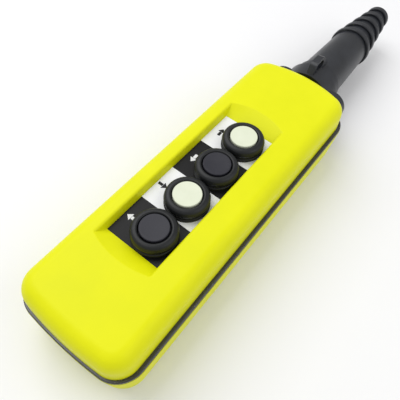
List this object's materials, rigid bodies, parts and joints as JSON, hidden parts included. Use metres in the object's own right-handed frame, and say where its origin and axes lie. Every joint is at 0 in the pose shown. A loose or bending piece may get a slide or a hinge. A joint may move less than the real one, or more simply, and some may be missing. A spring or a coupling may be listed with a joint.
{
  "type": "pendant push-button control station",
  "caption": "Hand-held pendant control station: booted push buttons in a sealed two-part plastic case, with a stepped rubber cable sleeve and a hanging eyelet.",
  "frame": {"origin": "on the flat back's plane, under the middle of the bounding box", "axes": "+Z out of the button face, +Y along the case from its low end to the cable sleeve's tip, +X across the case"},
  "size_m": [0.087, 0.407, 0.0602],
  "materials": {
    "yellow_case": "moulded lemon yellow thermoplastic with a fine spark-eroded texture and a soft sheen",
    "black_rubber": "black seal rubber, slightly shiny where it is squeezed",
    "sleeve_rubber": "blue-black moulded rubber with a soft sheen",
    "boot_rubber": "black moulded rubber, satin",
    "black_plastic": "black glass-filled plastic",
    "white_cap": "off-white moulded plastic, satin",
    "black_cap": "black moulded plastic, satin",
    "white_legend": "white laminate with a black printed arrow",
    "black_legend": "black laminate with a white printed arrow",
    "grey_plastic": "grey moulded plastic",
    "zinc_steel": "zinc plated steel",
    "stainless": "bright stainless steel",
    "spring_steel": "drawn stainless spring wire",
    "brass": "turned brass",
    "contact_brass": "tin-brass strip with silver rivets"
  },
  "bodies": {
    "housing": {"front_cover": "yellow_case", "rear_box": "yellow_case", "seal_gasket": "black_rubber", "cable_sleeve": "sleeve_rubber", "cable_clamp": "black_plastic", "clamp_screws": "zinc_steel", "cover_screws": "stainless", "cover_inserts": "brass", "contact_rail": "zinc_steel", "rail_screws": "zinc_steel", "fixed_contacts": "contact_brass", "terminal_screws": "zinc_steel", "legend_plate_1": "white_legend", "button_boot_1": "boot_rubber", "operator_bush_1": "black_plastic", "bush_nut_1": "black_plastic", "return_spring_1": "spring_steel", "contact_block_1": "grey_plastic", "legend_plate_2": "black_legend", "button_boot_2": "boot_rubber", "operator_bush_2": "black_plastic", "bush_nut_2": "black_plastic", "return_spring_2": "spring_steel", "contact_block_2": "grey_plastic", "legend_plate_3": "white_legend", "button_boot_3": "boot_rubber", "operator_bush_3": "black_plastic", "bush_nut_3": "black_plastic", "return_spring_3": "spring_steel", "contact_block_3": "grey_plastic", "legend_plate_4": "black_legend", "button_boot_4": "boot_rubber", "operator_bush_4": "black_plastic", "bush_nut_4": "black_plastic", "return_spring_4": "spring_steel", "contact_block_4": "grey_plastic"},
    "button_1": {"button_cap_1": "white_cap", "plunger_1": "grey_plastic", "contact_bridge_1": "contact_brass"},
    "button_2": {"button_cap_2": "black_cap", "plunger_2": "grey_plastic", "contact_bridge_2": "contact_brass"},
    "button_3": {"button_cap_3": "white_cap", "plunger_3": "grey_plastic", "contact_bridge_3": "contact_brass"},
    "button_4": {"button_cap_4": "black_cap", "plunger_4": "grey_plastic", "contact_bridge_4": "contact_brass"}
  },
  "joints": [
    {"name": "button_1_press", "type": "slide", "parent": "housing", "child": "button_1", "axis": [0, 0, -1], "range_m": [0, 0.004], "stiffness_N_per_m": 500, "springref_m": -0.003, "deforming": ["button_boot_1", "return_spring_1"]},
    {"name": "button_2_press", "type": "slide", "parent": "housing", "child": "button_2", "axis": [0, 0, -1], "range_m": [0, 0.004], "stiffness_N_per_m": 500, "springref_m": -0.003, "deforming": ["button_boot_2", "return_spring_2"]},
    {"name": "button_3_press", "type": "slide", "parent": "housing", "child": "button_3", "axis": [0, 0, -1], "range_m": [0, 0.004], "stiffness_N_per_m": 500, "springref_m": -0.003, "deforming": ["button_boot_3", "return_spring_3"]},
    {"name": "button_4_press", "type": "slide", "parent": "housing", "child": "button_4", "axis": [0, 0, -1], "range_m": [0, 0.004], "stiffness_N_per_m": 500, "springref_m": -0.003, "deforming": ["button_boot_4", "return_spring_4"]}
  ]
}
